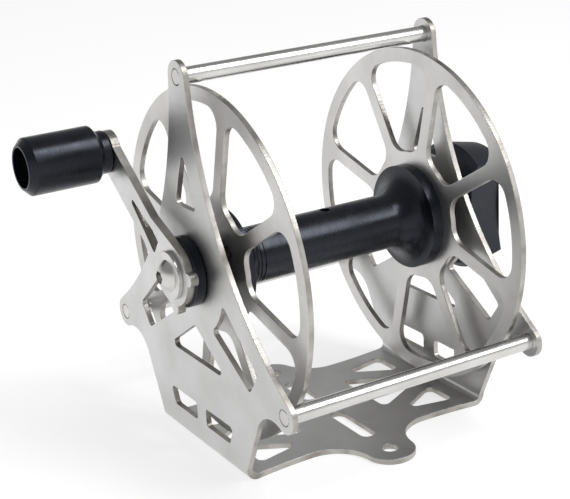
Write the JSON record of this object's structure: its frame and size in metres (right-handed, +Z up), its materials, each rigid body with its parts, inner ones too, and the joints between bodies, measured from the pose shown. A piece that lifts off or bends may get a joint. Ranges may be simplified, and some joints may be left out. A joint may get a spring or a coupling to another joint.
{
  "type": "fishing reel",
  "caption": "Hand-wound fishing line reel: spoked spool on a black hub in a bent steel sheet frame with tie rods, crank with knob, winged drag knob and bolt ears.",
  "frame": {"origin": "on the underside of the base, under the spool's axis and midway between the side plates", "axes": "+X along the spool's axis towards the drag knob, -Y towards the front of the reel, +Z up"},
  "size_m": [0.1585, 0.1224, 0.1354],
  "materials": {
    "stainless_sheet": "tumbled stainless steel sheet, matt with fine scratches",
    "stainless_disc": "tumbled stainless steel sheet, matt with fine scratches",
    "stainless_arm": "tumbled stainless steel sheet, matt with fine scratches",
    "stainless_bar": "drawn stainless steel bar, satin",
    "screw_steel": "turned stainless steel, satin",
    "black_acetal": "turned black acetal, satin with fine turning lines",
    "brass": "turned brass",
    "fibre": "pressed fibre washer, matt"
  },
  "bodies": {
    "frame": {"frame": "stainless_sheet", "rod_top": "stainless_bar", "rod_front": "stainless_bar", "rod_rear": "stainless_bar", "bush_left": "black_acetal", "bush_right": "black_acetal", "friction_washer": "fibre"},
    "spool": {"axle": "stainless_bar", "hub": "black_acetal", "hub_set_screw": "stainless_bar", "flange_left": "stainless_disc", "flange_right": "stainless_disc", "flange_screws_left": "screw_steel", "flange_screws_right": "screw_steel", "thrust_washer_left": "fibre", "thrust_washer_right": "fibre", "crank_disc": "black_acetal", "crank_arm": "stainless_arm", "crank_washer": "screw_steel", "crank_screw": "screw_steel", "knob_spindle": "screw_steel", "knob_washer": "screw_steel"},
    "knob": {"knob": "black_acetal"},
    "drag_stack": {"pressure_washer": "screw_steel", "disc_springs": "screw_steel"},
    "drag_knob": {"drag_knob": "black_acetal", "drag_nut": "brass"}
  },
  "joints": [
    {"name": "spool_spin", "type": "hinge", "parent": "frame", "child": "spool", "pos_m": [0, 0, 0.0655], "axis": [1, 0, 0], "continuous": true},
    {"name": "knob_spin", "type": "hinge", "parent": "spool", "child": "knob", "pos_m": [-0.07, 0.0445, 0.09783], "axis": [1, 0, 0], "continuous": true},
    {"name": "drag_slide", "type": "slide", "parent": "spool", "child": "drag_stack", "axis": [1, 0, 0], "range_m": [0, 0.0025]},
    {"name": "drag_turn", "type": "hinge", "parent": "drag_stack", "child": "drag_knob", "pos_m": [0.06, 0, 0.0655], "axis": [1, 0, 0], "range_deg": [0, 720]}
  ],
  "couplings": [
    {"joint": "drag_turn", "follows": "drag_slide", "rad_per_m": 5026.5}
  ]
}
